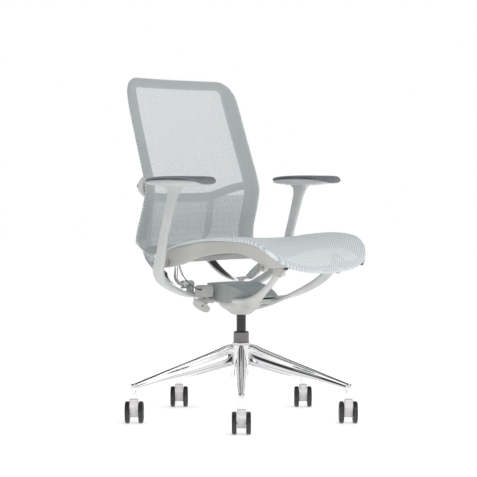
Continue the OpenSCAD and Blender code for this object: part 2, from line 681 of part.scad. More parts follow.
star_base();
caster_stems();
lift_tube();
lift_bearings();
piston_rod();
lift_cylinder();
valve_pin();
yoke();
mechanism_cover();
recline_spring();
release_actuator();
arm_bracket();  // arm_bracket_right
mirror([1, 0, 0]) arm_bracket();  // arm_bracket_left
arm_rest();  // arm_rest_right
mirror([1, 0, 0]) arm_rest();  // arm_rest_left
arm_pad();  // arm_pad_right
mirror([1, 0, 0]) arm_pad();  // arm_pad_left
arm_screws();
pivot_pins();
seat_guides();
control_box();
lever_shaft();
lever_paddle();
lever_screw();
release_cable();
tilt_cable();
carrier();  // carrier_right
mirror([1, 0, 0]) carrier();  // carrier_left
carrier_bushes();
lumbar_crossbar();
back_frame();
back_mesh();
lumbar_mesh();
back_knuckles();
knuckle_caps();
seat_shell();
seat_mesh_rim();
seat_mesh();
seat_pins();
seat_bumpers();
for (i = [1:5]) {
    caster_housing(i);
    caster_axle(i);
    caster_wheel(i, 1);
    caster_wheel(i, -1);
}
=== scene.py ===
"""Mesh task chair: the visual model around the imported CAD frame.

Lengths in the shape code are millimetres, with x across, y from front to back and z up.
"""

import math

import bpy
import numpy as np
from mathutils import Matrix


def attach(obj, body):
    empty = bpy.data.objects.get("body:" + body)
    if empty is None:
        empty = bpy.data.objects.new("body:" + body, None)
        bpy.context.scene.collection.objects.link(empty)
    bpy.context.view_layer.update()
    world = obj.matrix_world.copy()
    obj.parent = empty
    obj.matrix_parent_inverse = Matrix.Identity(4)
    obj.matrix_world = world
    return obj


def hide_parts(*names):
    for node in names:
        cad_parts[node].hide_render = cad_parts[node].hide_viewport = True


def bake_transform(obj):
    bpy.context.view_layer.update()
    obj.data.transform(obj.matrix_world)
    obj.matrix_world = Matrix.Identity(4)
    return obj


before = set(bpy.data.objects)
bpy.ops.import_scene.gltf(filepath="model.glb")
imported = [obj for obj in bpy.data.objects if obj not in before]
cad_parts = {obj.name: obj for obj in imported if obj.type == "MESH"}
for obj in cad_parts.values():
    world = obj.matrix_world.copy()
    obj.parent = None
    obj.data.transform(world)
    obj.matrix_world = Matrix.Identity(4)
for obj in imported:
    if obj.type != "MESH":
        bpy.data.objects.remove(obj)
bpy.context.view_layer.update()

MM = 0.001
scene = bpy.context.scene

# ---- Camera ----

CAMERA_TURN = math.radians(-49)
CAMERA_DROP = 0.0382
CAMERA_AWAY = 5.35
CAMERA_HEIGHT = 0.740
CAMERA_ASIDE = 0.008
SENSOR_WIDTH = 36
LENS = 136.9


def add_camera():
    data = bpy.data.cameras.new("photo_camera")
    data.sensor_width = SENSOR_WIDTH
    data.lens = LENS
    obj = bpy.data.objects.new("photo_camera", data)
    right = (math.cos(CAMERA_TURN), math.sin(CAMERA_TURN))
    ahead = (-math.sin(CAMERA_TURN), math.cos(CAMERA_TURN))
    obj.location = (
        -CAMERA_AWAY * ahead[0] - CAMERA_ASIDE * right[0],
        -CAMERA_AWAY * ahead[1] - CAMERA_ASIDE * right[1],
        CAMERA_HEIGHT,
    )
    obj.rotation_euler = (math.pi / 2 - CAMERA_DROP, 0, CAMERA_TURN)
    scene.collection.objects.link(obj)
    scene.camera = obj


add_camera()

# ---- Node materials ----


class Nodes:
    """Short hand for one material's node tree."""

    def __init__(self, name):
        self.material = bpy.data.materials.new(name)
        self.material.use_nodes = True
        self.tree = self.material.node_tree
        self.shader = self.tree.nodes["Principled BSDF"]
        coords = self.tree.nodes.new("ShaderNodeTexCoord")
        self.place = coords.outputs["Object"]

    def link(self, out, socket):
        self.tree.links.new(out, socket)

    def add(self, kind, **settings):
        node = self.tree.nodes.new(kind)
        for key, value in settings.items():
            setattr(node, key, value)
        return node

    def put(self, socket, value):
        if isinstance(value, (int, float, tuple)):
            socket.default_value = value
        else:
            self.link(value, socket)

    def math(self, operation, a, b=0.0, clamp=False):
        node = self.add("ShaderNodeMath", operation=operation, use_clamp=clamp)
        for socket, value in zip(node.inputs, (a, b)):
            self.put(socket, value)
        return node.outputs[0]

    def noise(self, scale, detail=3.0, rough=0.5, where=None):
        node = self.add("ShaderNodeTexNoise")
        self.link(where or self.place, node.inputs["Vector"])
        node.inputs["Scale"].default_value = scale
        node.inputs["Detail"].default_value = detail
        node.inputs["Roughness"].default_value = rough
        return node.outputs["Fac"]

    def spread(self, value, low, high, to_low, to_high):
        node = self.add("ShaderNodeMapRange")
        self.link(value, node.inputs["Value"])
        for key, number in (("From Min", low), ("From Max", high), ("To Min", to_low), ("To Max", to_high)):
            node.inputs[key].default_value = number
        return node.outputs["Result"]

    def mix(self, share, a, b):
        node = self.add("ShaderNodeMix", data_type="RGBA")
        self.put(node.inputs[0], share)
        self.put(node.inputs[6], a)
        self.put(node.inputs[7], b)
        return node.outputs[2]

    def bump(self, height, strength, distance):
        node = self.add("ShaderNodeBump")
        node.inputs["Strength"].default_value = strength
        node.inputs["Distance"].default_value = distance
        self.link(height, node.inputs["Height"])
        return node.outputs["Normal"]

    def edges(self, low, high):
        """1 on worn convex edges, 0 elsewhere."""
        geometry = self.add("ShaderNodeNewGeometry")
        return self.spread(geometry.outputs["Pointiness"], low, high, 0.0, 1.0)


def tone(colour, factor):
    return tuple(min(1.0, c * factor) for c in colour) + (1.0,)


def plastic(name, colour, rough=0.42, grain=1400.0, depth=0.00006, vary=0.06, coat=0.0):
    """Moulded plastic or powder coat: fine texture, slow tone variation and lighter worn edges."""
    n = Nodes(name)
    slow = n.noise(9.0, 4.0, 0.6)
    body = n.mix(n.spread(slow, 0.35, 0.65, 0.0, 1.0), tone(colour, 1 - vary), tone(colour, 1 + vary))
    speck = n.spread(n.noise(2600.0, 1.0), 0.3, 0.7, 0.94, 1.05)
    speckled = n.add("ShaderNodeVectorMath", operation="SCALE")
    n.link(body, speckled.inputs[0])
    n.link(speck, speckled.inputs["Scale"])
    worn = n.math("MULTIPLY", n.edges(0.52, 0.62), n.spread(n.noise(60.0, 5.0), 0.4, 0.7, 0.0, 0.55))
    n.link(n.mix(worn, speckled.outputs[0], tone(colour, 1.25)), n.shader.inputs["Base Color"])
    uneven = n.noise(35.0, 5.0, 0.7)
    n.link(n.spread(uneven, 0.3, 0.7, rough - 0.06, rough + 0.08), n.shader.inputs["Roughness"])
    n.link(n.bump(n.noise(grain, 2.0), 0.35, depth), n.shader.inputs["Normal"])
    n.shader.inputs["Coat Weight"].default_value = coat
    n.shader.inputs["Coat Roughness"].default_value = 0.2
    return n.material


STREAK_SCALE = (30.0, 30.0, 400.0)


def metal(name, colour, rough, smear):
    """Polished or ground metal: faint polishing streaks and handling smears in its roughness."""
    n = Nodes(name)
    mapping = n.add("ShaderNodeMapping")
    n.link(n.place, mapping.inputs["Vector"])
    mapping.inputs["Scale"].default_value = STREAK_SCALE
    lines = n.noise(4.0, 4.0, 0.6, mapping.outputs["Vector"])
    smears = n.noise(9.0, 4.0, 0.55)
    both = n.math("ADD", n.math("MULTIPLY", lines, 0.25), n.math("MULTIPLY", smears, 0.75))
    n.link(n.spread(both, 0.35, 0.65, rough - smear * 0.5, rough + smear), n.shader.inputs["Roughness"])
    handled = n.spread(smears, 0.4, 0.7, 0.0, 1.0)
    n.link(n.mix(handled, tone(colour, 1.0), tone(colour, 0.93)), n.shader.inputs["Base Color"])
    n.shader.inputs["Metallic"].default_value = 1.0
    return n.material


def rubber(name, colour, rough=0.5):
    """Tyre or rubber: fine pores and a little pale dust."""
    n = Nodes(name)
    dust = n.spread(n.noise(45.0, 6.0, 0.7), 0.5, 0.75, 0.0, 0.35)
    n.link(n.mix(dust, tone(colour, 1.0), tone(colour, 1.9)), n.shader.inputs["Base Color"])
    n.link(n.spread(n.noise(80.0, 4.0), 0.3, 0.7, rough - 0.1, rough + 0.12), n.shader.inputs["Roughness"])
    n.link(n.bump(n.noise(900.0, 3.0), 0.3, 0.0001), n.shader.inputs["Normal"])
    return n.material


def soft_skin(name, colour):
    """Soft moulded skin of an arm pad: pebbled leather-like grain."""
    n = Nodes(name)
    cells = n.add("ShaderNodeTexVoronoi", feature="SMOOTH_F1")
    n.link(n.place, cells.inputs["Vector"])
    cells.inputs["Scale"].default_value = 620.0
    pebbles = n.math("MULTIPLY", cells.outputs["Distance"], 0.7)
    grain = n.math("ADD", pebbles, n.math("MULTIPLY", n.noise(1500.0), 0.3))
    slow = n.spread(n.noise(18.0, 4.0), 0.35, 0.65, 0.0, 1.0)
    n.link(n.mix(slow, tone(colour, 0.9), tone(colour, 1.1)), n.shader.inputs["Base Color"])
    n.link(n.spread(grain, 0.1, 0.6, 0.42, 0.62), n.shader.inputs["Roughness"])
    n.link(n.bump(grain, 0.35, 0.00025), n.shader.inputs["Normal"])
    n.shader.inputs["Sheen Weight"].default_value = 0.15
    return n.material


def wave(n, value, period):
    """Triangle wave from 0 to 1 and back over a period in metres."""
    turned = n.math("MULTIPLY", value, 1.0 / period)
    folded = n.math("FRACT", turned)
    return n.math("ABSOLUTE", n.math("SUBTRACT", n.math("MULTIPLY", folded, 2.0), 1.0))


WEAVE_ROUGH = 0.6
DIAGONAL = 0.7071


def weave(name, light, dark, rib, pitch, cover, ribbed, chevron=False, upright=False, lean=1.0):
    """Open technical mesh: two crossed sets of threads with holes between, and heavier ribs along one set.

    rib and pitch are spacings in metres. cover sets how wide the threads are, and ribbed what a rib adds.
    The threads run diagonally unless upright. lean -1 mirrors them, and chevron mirrors them at the middle.
    """
    n = Nodes(name)
    grid = n.add("ShaderNodeUVMap", uv_map="weave")
    parts = n.add("ShaderNodeSeparateXYZ")
    n.link(grid.outputs[0], parts.inputs[0])
    across, along = parts.outputs[0], parts.outputs[1]
    if chevron:
        across = n.math("ABSOLUTE", across)
    else:
        across = n.math("MULTIPLY", across, lean)
    wander = n.math("MULTIPLY", n.math("SUBTRACT", n.noise(22.0, 2.0), 0.5), 0.0012)
    if upright:
        rising, falling = across, along
    else:
        rising = n.math("MULTIPLY", n.math("SUBTRACT", across, along), DIAGONAL)
        falling = n.math("MULTIPLY", n.math("ADD", across, along), DIAGONAL)
    rising, falling = n.math("ADD", rising, wander), n.math("ADD", falling, wander)
    thread_a, thread_b = wave(n, rising, pitch), wave(n, falling, pitch)
    ribs = wave(n, rising, rib)
    gap = n.math("MINIMUM", thread_a, thread_b)
    limit = n.math("ADD", n.math("MULTIPLY", ribs, ribbed), cover)
    open_share = n.spread(n.math("SUBTRACT", gap, limit), 0.0, 0.08, 0.0, 1.0)
    n.link(n.math("SUBTRACT", 1.0, open_share, clamp=True), n.shader.inputs["Alpha"])
    # Painted shade: the threads' colour runs from the second colour in the hollows between threads to the
    # first on crests and ribs
    crest = n.math("MAXIMUM", n.math("SUBTRACT", 1.0, thread_a), n.math("SUBTRACT", 1.0, thread_b))
    height = n.math("ADD", n.math("MULTIPLY", crest, 0.5), n.math("MULTIPLY", ribs, 0.5))
    shade = n.spread(height, 0.25, 0.95, 0.0, 1.0)
    fibre = n.spread(n.noise(1800.0, 2.0), 0.3, 0.7, 0.0, 0.35)
    painted_thread_shade = n.mix(shade, dark + (1.0,), light + (1.0,))
    n.link(n.mix(fibre, painted_thread_shade, tone(light, 0.86)), n.shader.inputs["Base Color"])
    uneven = n.noise(300.0, 3.0)
    n.link(n.spread(uneven, 0.3, 0.7, WEAVE_ROUGH - 0.08, WEAVE_ROUGH + 0.1), n.shader.inputs["Roughness"])
    n.link(n.bump(height, 0.55, 0.0006), n.shader.inputs["Normal"])
    n.shader.inputs["Sheen Weight"].default_value = 0.25
    return n.material


LIGHT_GREY = (0.56, 0.565, 0.545)
WARM_GREY = (0.50, 0.50, 0.475)
ARM_GREY = (0.60, 0.61, 0.605)
# Painted shade: a darker grey for the mechanism cover's shaded concave sides and the dark channel round the
# seat mesh's edge
PAINTED_SHADE_GREY = (0.345, 0.375, 0.365)

M = {
    "polished": metal("polished_aluminium", (0.90, 0.90, 0.905), 0.05, 0.035),
    "steel": metal("fastener_steel", (0.80, 0.79, 0.77), 0.2, 0.1),
    "bronzed": metal("bronzed_screw", (0.36, 0.30, 0.26), 0.3, 0.1),
    "casting": plastic("light_grey_casting", LIGHT_GREY, 0.40, 900.0, 0.00008),
    "arm": plastic("arm_grey", ARM_GREY, 0.42),
    "light": plastic("light_grey_plastic", LIGHT_GREY, 0.44),
    "warm": plastic("warm_grey_plastic", WARM_GREY, 0.40),
    # painted shade grey, for the mechanism cover and the seat rim channel
    "shade": plastic("shade_grey_plastic", PAINTED_SHADE_GREY, 0.5),
    "caster": plastic("caster_grey", (0.76, 0.74, 0.73), 0.38),
    "tube": plastic("grey_lift_tube", (0.215, 0.205, 0.20), 0.45, 500.0),
    "rod": plastic("black_lift_cylinder", (0.016, 0.018, 0.018), 0.26, 600.0, 0.00003, 0.1, 0.08),
    "black": plastic("black_plastic", (0.03, 0.03, 0.032), 0.5),
    "rubber": rubber("black_rubber", (0.03, 0.03, 0.032)),
    "tyre": rubber("wheel_tread", (0.026, 0.026, 0.030), 0.30),
    "pad": soft_skin("slate_pad", (0.17, 0.18, 0.20)),
    # Each weave's second colour is painted shade, for the hollows between its threads
    "back": weave(
        "back_weave", (0.66, 0.71, 0.71), (0.30, 0.35, 0.35), 0.0076, 0.0026, 0.14, 0.54, lean=-1.0
    ),
    "lumbar": weave(
        "lumbar_weave", (0.76, 0.82, 0.82), (0.42, 0.48, 0.49), 0.0082, 0.0021, 0.14, 0.50, upright=True
    ),
    "seat": weave(
        "seat_weave", (0.88, 0.92, 0.93), (0.42, 0.49, 0.52), 0.0068, 0.0024, 0.50, 0.40, chevron=True
    ),
}

# ---- Shape helpers, the same curves as part.scad with more points ----


def blend_at(a, b, c, d, t):
    """Place at t, from 0 at b to 1 at c, on the smooth curve through a, b, c and d."""
    return 0.5 * (2 * b + (c - a) * t + (2 * a - 5 * b + 4 * c - d) * t * t + (3 * b - a - 3 * c + d) * t**3)


def smooth(points, k):
    """Smooth open curve through points, in k steps from each to the next."""
    p = np.array(points, float)
    last = len(p) - 1
    out = [
        blend_at(p[max(i - 1, 0)], p[i], p[i + 1], p[min(i + 2, last)], j / k)
        for i in range(last) for j in range(k)
    ]
    return np.array(out + [p[last]])


def smooth_loop(points, k):
    """Smooth closed curve through points, in k steps from each to the next."""
    p = np.array(points, float)
    n = len(p)
    return np.array(
        [blend_at(p[i - 1], p[i], p[(i + 1) % n], p[(i + 2) % n], j / k) for i in range(n) for j in range(k)]
    )


def unit(v):
    v = np.asarray(v, float)
    return v / np.linalg.norm(v)


def soft_power(c, e):
    return math.copysign(abs(c) ** e, c) if abs(c) > 1e-9 else 0.0


def section(n, e):
    """Cross-section 1 by 1 with n points: an ellipse where e is 1, and squarer the smaller e is."""
    turns = [2 * math.pi * i / n for i in range(n)]
    return np.array([[soft_power(math.cos(a), e) / 2, soft_power(math.sin(a), e) / 2] for a in turns])


SHARP_ANGLE = math.radians(38)


def add_mesh(name, points, faces):
    """A new object from points in millimetres."""
    mesh = bpy.data.meshes.new(name)
    mesh.from_pydata((np.asarray(points, float) * MM).tolist(), [], [list(map(int, f)) for f in faces])
    obj = bpy.data.objects.new(name, mesh)
    scene.collection.objects.link(obj)
    return obj


def make(name, points, faces, material, body, nodes=(), uv=None):
    """One piece from points in millimetres. uv, if given, is a pair of millimetres per point, kept in metres.
    """
    obj = add_mesh(name, points, faces)
    mesh = obj.data
    mesh.validate()
    if uv is not None:
        layer = mesh.uv_layers.new(name="weave")
        flat = np.asarray(uv, float) * MM
        for loop in mesh.loops:
            layer.data[loop.index].uv = flat[loop.vertex_index]
    mesh.materials.append(M[material])
    mesh.shade_smooth()
    mesh.set_sharp_from_angle(angle=SHARP_ANGLE)
    if body:
        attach(obj, body)
    if nodes:
        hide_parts(*nodes)
    return obj


# Angles of the extra rings that round off a bar's end
ROUNDING = [math.radians(a) for a in (80, 65, 48, 30, 14)]
ROD_SIDES = 48


class Shape:
    """Collects the closed shells of one piece."""

    def __init__(self):
        self.points, self.faces = [], []

    def add(self, points, faces):
        start = len(self.points)
        self.points += [list(p) for p in points]
        self.faces += [[start + i for i in f] for f in faces]

    def rings(self, rings, closed=False):
        n = len(rings[0])
        points = np.concatenate(rings)
        count = len(rings)
        faces = []
        for i in range(count if closed else count - 1):
            a, b = i * n, ((i + 1) % count) * n
            faces += [[a + j, a + (j + 1) % n, b + (j + 1) % n, b + j] for j in range(n)]
        if not closed:
            faces += [list(range(n))[::-1], [(count - 1) * n + j for j in range(n)]]
        self.add(points, faces)

    def bar(self, path, w, t, side, k, shape=None, round_ends=(0, 0)):
        """Open sweep, w wide towards side and t thick. round_ends are lengths that round off the two ends."""
        shape = section(32, 0.6) if shape is None else shape
        path, ws, ts = smooth(path, k), smooth(w, k), smooth(t, k)
        last = len(path) - 1
        fixed = not hasattr(side[0], "__len__")
        sides = np.tile(np.array(side, float), (last + 1, 1)) if fixed else smooth(side, k)
        rings = []
        for i in range(last + 1):
            along = unit(path[min(i + 1, last)] - path[max(i - 1, 0)])
            u = unit(sides[i] - (sides[i] @ along) * along)
            v = np.cross(along, u)
            rings.append((path[i], along, u, v, ws[i], ts[i]))
        out = []
        c, along, u, v, w0, t0 = rings[0]
        if round_ends[0]:
            for a in ROUNDING:
                at = c - along * round_ends[0] * math.sin(a)
                out.append(self._ring(at, u, v, w0, t0, math.cos(a), shape))
        out += [self._ring(c, u, v, w1, t1, 1.0, shape) for c, _, u, v, w1, t1 in rings]
        c, along, u, v, w0, t0 = rings[-1]
        if round_ends[1]:
            for a in ROUNDING[::-1]:
                at = c + along * round_ends[1] * math.sin(a)
                out.append(self._ring(at, u, v, w0, t0, math.cos(a), shape))
        self.rings(out)

    @staticmethod
    def _ring(c, u, v, w, t, scale, shape):
        return np.array([c + u * q[0] * w * scale + v * q[1] * t * scale for q in shape])

    def hoop(self, path, w, t, side, k, shape):
        """Closed sweep, w wide towards side and t thick."""
        path, ws, ts, sides = (smooth_loop(x, k) for x in (path, w, t, side))
        m = len(path)
        rings = []
        for i in range(m):
            along = unit(path[(i + 1) % m] - path[i - 1])
            u = unit(sides[i] - (sides[i] @ along) * along)
            rings.append(self._ring(path[i], u, np.cross(along, u), ws[i], ts[i], 1.0, shape))
        self.rings(rings, closed=True)

    def lathe(self, profile, foot=(0, 0, 0), axis=(0, 0, 1), n=96):
        """Turned solid: profile is (radius, height) pairs, closed by its end faces."""
        axis = unit(axis)
        helper = np.array([1.0, 0, 0]) if abs(axis[0]) < 0.9 else np.array([0, 1.0, 0])
        u = unit(np.cross(axis, helper))
        v = np.cross(axis, u)
        turns = [2 * math.pi * i / n for i in range(n)]
        rings = []
        for r, h in profile:
            centre = np.array(foot, float) + axis * h
            rings.append(np.array([centre + (u * math.cos(a) + v * math.sin(a)) * r for a in turns]))
        self.rings(rings)

    def rod(self, a, b, r, soft):
        """Round rod from a to b with softened edges."""
        a, b = np.array(a, float), np.array(b, float)
        h = np.linalg.norm(b - a)
        edge = soft * 0.3
        self.lathe(
            [(r - soft, 0), (r - edge, edge), (r, soft), (r, h - soft), (r - edge, h - edge), (r - soft, h)],
            a, b - a, ROD_SIDES,
        )

    def mirrored(self):
        """The same shape on the sitter's other side."""
        other = Shape()
        other.points = [[-p[0], p[1], p[2]] for p in self.points]
        other.faces = [f[::-1] for f in self.faces]
        return other


def mirrored_points(points):
    """The points' mirror images, in the order that goes on from the last point."""
    return [[-p[0]] + list(p[1:]) for p in points[::-1]]


def both_sides(shape_of, name, material, body, node):
    """The right-hand piece and its mirror image, each in the place of its CAD node."""
    right = shape_of()
    for side, s in (("right", right), ("left", right.mirrored())):
        make(f"{name}_{side}", s.points, s.faces, material, body, [f"{node}_{side}"])


# ---- Base, wheels and lift ----

BASE_TURN = -49
BASE_REACH = 328
BASE_TOP = 229
LEG_COUNT = 5
# A leg's cross-section: flat below, with a raised spine
LEG_SHAPE = smooth_loop(
    [[0.50, -0.40], [0.44, -0.10], [0.32, 0.10], [0.34, 0.30], [0.24, 0.44], [0, 0.50], [-0.24, 0.44],
     [-0.34, 0.30], [-0.32, 0.10], [-0.44, -0.10], [-0.50, -0.40], [-0.40, -0.5], [0.40, -0.5]],
    4,
)


def turned(points, degrees):
    """The points turned about the column."""
    a = math.radians(degrees)
    c, s = math.cos(a), math.sin(a)
    return [[p[0] * c - p[1] * s, p[0] * s + p[1] * c, p[2]] for p in points]


def star_base():
    s = Shape()
    s.lathe([(23.2, 127), (28, 126), (30, 126.6), (31, 128.5), (31.5, 170), (30.5, 205), (29, 220),
             (28.5, BASE_TOP - 2.5), (27.9, BASE_TOP - 0.8), (26.6, BASE_TOP), (23.2, BASE_TOP), (23.2, 127)])
    for i in range(LEG_COUNT):
        leg = Shape()
        leg.bar([[0, -25, 193], [0, -36, 192], [0, -66, 182], [0, -140, 160.5], [0, -236, 136],
                 [0, -330, 108]],
                [24, 30, 38, 34, 27, 17], [58, 62, 58, 47, 28, 16], [1, 0, 0], 10, LEG_SHAPE)
        leg.lathe([(8.5, 74), (10, 74.4), (10.5, 75.5), (10.5, 112.5), (9.8, 115), (8, 116.8), (0.1, 117)],
                  (0, -BASE_REACH, 0), n=48)
        leg.points = turned(leg.points, BASE_TURN + 360 / LEG_COUNT * i)
        s.add(leg.points, leg.faces)
    make("base_star", s.points, s.faces, "polished", "base", ["star_base"])


star_base()

# ---- Yoke and arms ----

# Places in the side view, as (y, z)
PIVOT = (105, 402)
SEAT_PIN = (70, 472)
GUIDE_PIN = (-275, 467)
ROD_BORE = 9.6
ARM_X = 283
ARM_TOP = 721
REST_TOP = ARM_TOP - 10


def drill(obj, start, end, radius):
    """Cuts a round bore, in millimetres, through a piece."""
    bit = Shape()
    bit.rod(start, end, radius, 0.5)
    cutter = add_mesh("bit", bit.points, bit.faces)
    bore = obj.modifiers.new("bore", "BOOLEAN")
    bore.operation = "DIFFERENCE"
    bore.solver = "EXACT"
    bore.use_self = True
    bore.object = cutter
    bpy.context.view_layer.update()
    cut = bpy.data.meshes.new_from_object(obj.evaluated_get(bpy.context.evaluated_depsgraph_get()))
    obj.modifiers.remove(bore)
    obj.data = cut
    bpy.data.objects.remove(cutter)


def yoke():
    s = Shape()
    s.lathe([(14.2, 313), (26, 312), (28.5, 312.6), (30.5, 314.5), (42, 323), (58, 333), (65, 340),
             (66, 343), (66, 349), (64.5, 350), (14.2, 350), (14.2, 313)])
    front = [[-30, -5, 341], [-50, -52, 348], [-72, -104, 361], [-94, -157, 384], [-112, -210, 417],
             [-121, -250, 456]]
    lean = [[1, 0.35, -0.45], [1, 0.35, -0.45], [1, 0.35, -0.3], [1, 0.35, -0.1], [1, 0.35, 0], [1, 0.35, 0]]
    arm = Shape()
    arm.bar(front, [76, 68, 54, 43, 37, 34], [14, 14, 13, 12, 12, 11], lean, 8, round_ends=(0, 8))
    arm.bar([[-25, 20, 344], [-55, 70, 357], [-92, 96, 368]], [60, 52, 46], [14, 14, 13], [0.25, 1, 0], 8)
    for part in (arm, arm.mirrored()):
        s.add(part.points, part.faces)
    s.bar([[0, -20, 344], [0, -60, 348], [0, -98, 355]], [120, 124, 130], [12, 12, 11], [1, 0, 0], 8)
    obj = make("yoke_casting", s.points, s.faces, "casting", "upper", ["yoke"])
    drill(obj, (0, 0, 300), (0, 0, 390), ROD_BORE)


def arm_bracket():
    s = Shape()
    curve = [[-92, 96, 368], [-128, 102, 372], [-165, 104, 384], [-203, 102, 399], [-243, 94, 419],
             [-270, 80, 448], [-ARM_X + 2, 62, 484], [-ARM_X, 46, 550], [-ARM_X, 32, 595], [-ARM_X, 17, 646]]
    s.bar(curve, [46, 44, 40, 38, 37, 37, 33, 29, 30, 33],
          [13, 13, 13, 14, 15, 16, 16, 15, 15, 16], [0, 1, 0], 8)
    s.rod((-116, *PIVOT), (-102, *PIVOT), 11, 1.2)
    s.bar([[-109, PIVOT[0], 366], [-109, PIVOT[0], 384], [-109, PIVOT[0], PIVOT[1]]],
          [24, 22, 20], [14, 14, 13.6], [0, 1, 0], 4, section(32, 0.35))
    return s


def arm_rest():
    s = Shape()
    s.bar([[-ARM_X, 17, 646], [-ARM_X, 12, 664], [-ARM_X, 8.5, 682], [-ARM_X, 8, 697]],
          [33, 36, 50, 84], [16, 17, 21, 30], [0, 1, 0], 10)
    s.bar([[-ARM_X - 1, 103, REST_TOP - 10], [-ARM_X, 76, REST_TOP - 8.5], [-ARM_X, 20, REST_TOP - 8.5],
           [-ARM_X, -46, REST_TOP - 8.5], [-ARM_X, -96, REST_TOP - 7.5], [-ARM_X, -119, REST_TOP - 4]],
          [24, 52, 66, 66, 56, 30], [9, 17, 23, 22, 15, 7], [1, 0, 0], 10, round_ends=(4, 3))
    return s


def arm_pad():
    s = Shape()
    s.bar([[-ARM_X, 107, ARM_TOP - 14], [-ARM_X, 92, ARM_TOP - 9.5], [-ARM_X, 56, ARM_TOP - 5.5],
           [-ARM_X, 0, ARM_TOP - 4], [-ARM_X, -64, ARM_TOP - 5], [-ARM_X, -100, ARM_TOP - 9.5],
           [-ARM_X, -123, ARM_TOP - 13], [-ARM_X, -137, ARM_TOP - 15]],
          [22, 48, 68, 74, 74, 72, 60, 34], [6, 6.5, 7, 8, 9.5, 18, 22, 12], [1, 0, 0], 10,
          section(40, 0.72), round_ends=(3, 4))
    return s


yoke()
both_sides(arm_bracket, "arm_bracket_casting", "arm", "upper", "arm_bracket")
both_sides(arm_rest, "arm_rest_casing", "arm", "upper", "arm_rest")
both_sides(arm_pad, "arm_pad_skin", "pad", "upper", "arm_pad")

# ---- Lever and cables ----


def paddle():
    s = Shape()
    s.bar([[-118, 52, 353], [-121, 50, 346], [-124, 47, 340]], [14, 12, 12], [10, 8, 7], [1, 0, 0], 6)
    s.bar([[-160, 44, 355], [-156, 44, 353], [-142, 45, 347.5], [-124, 46, 340], [-106, 47, 332.5],
           [-92, 48, 327], [-88, 48, 325]],
          [6, 16, 24, 26, 24, 16, 6], [3, 6, 8, 9, 8, 6, 3], [0.3, -0.35, 0.9], 8, section(32, 0.8),
          round_ends=(1, 1))
    make("lever_paddle_grip", s.points, s.faces, "light", "lever", ["lever_paddle"])


def cable(name, node, body, route, across, widths):
    """A stiff cable along route. widths are its own diameter and its thicker fittings, point by point."""
    s = Shape()
    s.bar(route, widths, widths, across, 6, section(20, 1.0))
    obj = make(name, s.points, s.faces, "rubber", body, [node])
    return obj


paddle()
cable("release_cable_tube", "release_cable", "upper",
      [[-94, 50, 375], [-84, 50, 374.5], [-72, 48, 374], [-58, 42, 373], [-40, 26, 371], [-28, 12, 370],
       [-18, 4, 370], [-8, 4, 370]], [0, 0, 1], [3.6] * 8)
tilt = cable("tilt_cable_tube", "tilt_cable", None,
             [[-120, 50, 388], [-134, 50, 390], [-154, 52, 399], [-176, 56, 416], [-190, 59.5, 434],
              [-192, 60, 437], [-198, 62, 452], [-200, 63, 462]],
             [0, 1, 0], [4.4, 3.2, 3.2, 3.2, 3.2, 6, 6, 5])
# Pale sleeve at the cable's upper end
SLEEVE_FROM = 0.436
tilt.data.materials.append(M["light"])
for polygon in tilt.data.polygons:
    if polygon.center.z > SLEEVE_FROM:
        polygon.material_index = 1

# ---- Back ----


def carrier():
    s = Shape()
    s.bar([[-132, PIVOT[0] + 10, PIVOT[1] - 1], [-130, 138, 401], [-128, 177, 416], [-128, 222, 446],
           [-129, 252, 478], [-132, 261, 510], [-135, 256, 545], [-136, 249, 590], [-135, 241, 640],
           [-135, 239.5, 664]],
          [24, 30, 40, 44, 44, 42, 38, 36, 36, 34], [14, 12, 11, 10, 10, 10, 10, 10, 10, 10], [1, 0, 0], 8,
          round_ends=(0, 3))
    s.bar([[-134, PIVOT[0], PIVOT[1] + 3], [-160, 108, 407], [-185, 103, 425], [-201, 85, 449],
           [-210, 71, 470]],
          [24, 31, 37, 31, 20], [12, 10, 10, 11, 11], [0, 1, 0.2], 8)
    s.rod((-147, *PIVOT), (-118, *PIVOT), 12, 1.2)
    s.rod((-217, *SEAT_PIN), (-204, *SEAT_PIN), 12, 1.2)
    return s


def crossbar():
    s = Shape()
    half = [[-241, 178, 691], [-222, 196, 687], [-190, 213, 678], [-150, 227, 664], [-110, 234, 656]]
    s.bar(half + [[0, 238, 654]] + mirrored_points(half),
          [24, 25, 26, 26, 26, 26, 26, 26, 26, 25, 24], [10, 9, 9, 9, 9, 9, 9, 9, 9, 9, 10], [0, 0, 1], 8)
    make("lumbar_crossbar_bar", s.points, s.faces, "warm", "back", ["lumbar_crossbar"])


def knuckles():
    s = Shape()
    s.bar([[-240, 161, 713], [-240, 168, 705], [-240, 173, 691], [-240, 170, 677], [-240, 161, 664]],
          [16, 22, 25, 22, 14], [12, 18, 22, 18, 10], [1, 0, 0], 8, round_ends=(3, 3))
    other = s.mirrored()
    s.add(other.points, other.faces)
    make("back_knuckle_pair", s.points, s.faces, "light", "back", ["back_knuckles"])


BACK_TOP = 1009
BACK_LOW = 489
BACK_HOLLOW = 34
FRAME_SIDE = 50
FRAME_TOP = 27
FRAME_THICK = 10
FRAME_BEHIND = 7
LUMBAR_LOW = 500
LUMBAR_TOP = 660
LUMBAR_MARGIN = 42
LUMBAR_BEHIND = 14
# The back's side edge as (z, y), from the top down
EDGE_PROFILE = [[1015, 240], [923, 217], [844, 192], [765, 167], [713, 150], [677, 143], [640, 149],
                [597, 160], [555, 172], [525, 172], [489, 152]]


def edge_y(z, table=EDGE_PROFILE):
    """Smooth value of a table's second numbers where its first numbers, which fall down the table, are z."""
    last = len(table) - 1
    i = next((i for i in range(last) if z >= table[i + 1][0]), last - 1)
    t = (table[i][0] - z) / (table[i][0] - table[i + 1][0])
    return blend_at(table[max(i - 1, 0)][1], table[i][1], table[i + 1][1], table[min(i + 2, last)][1], t)


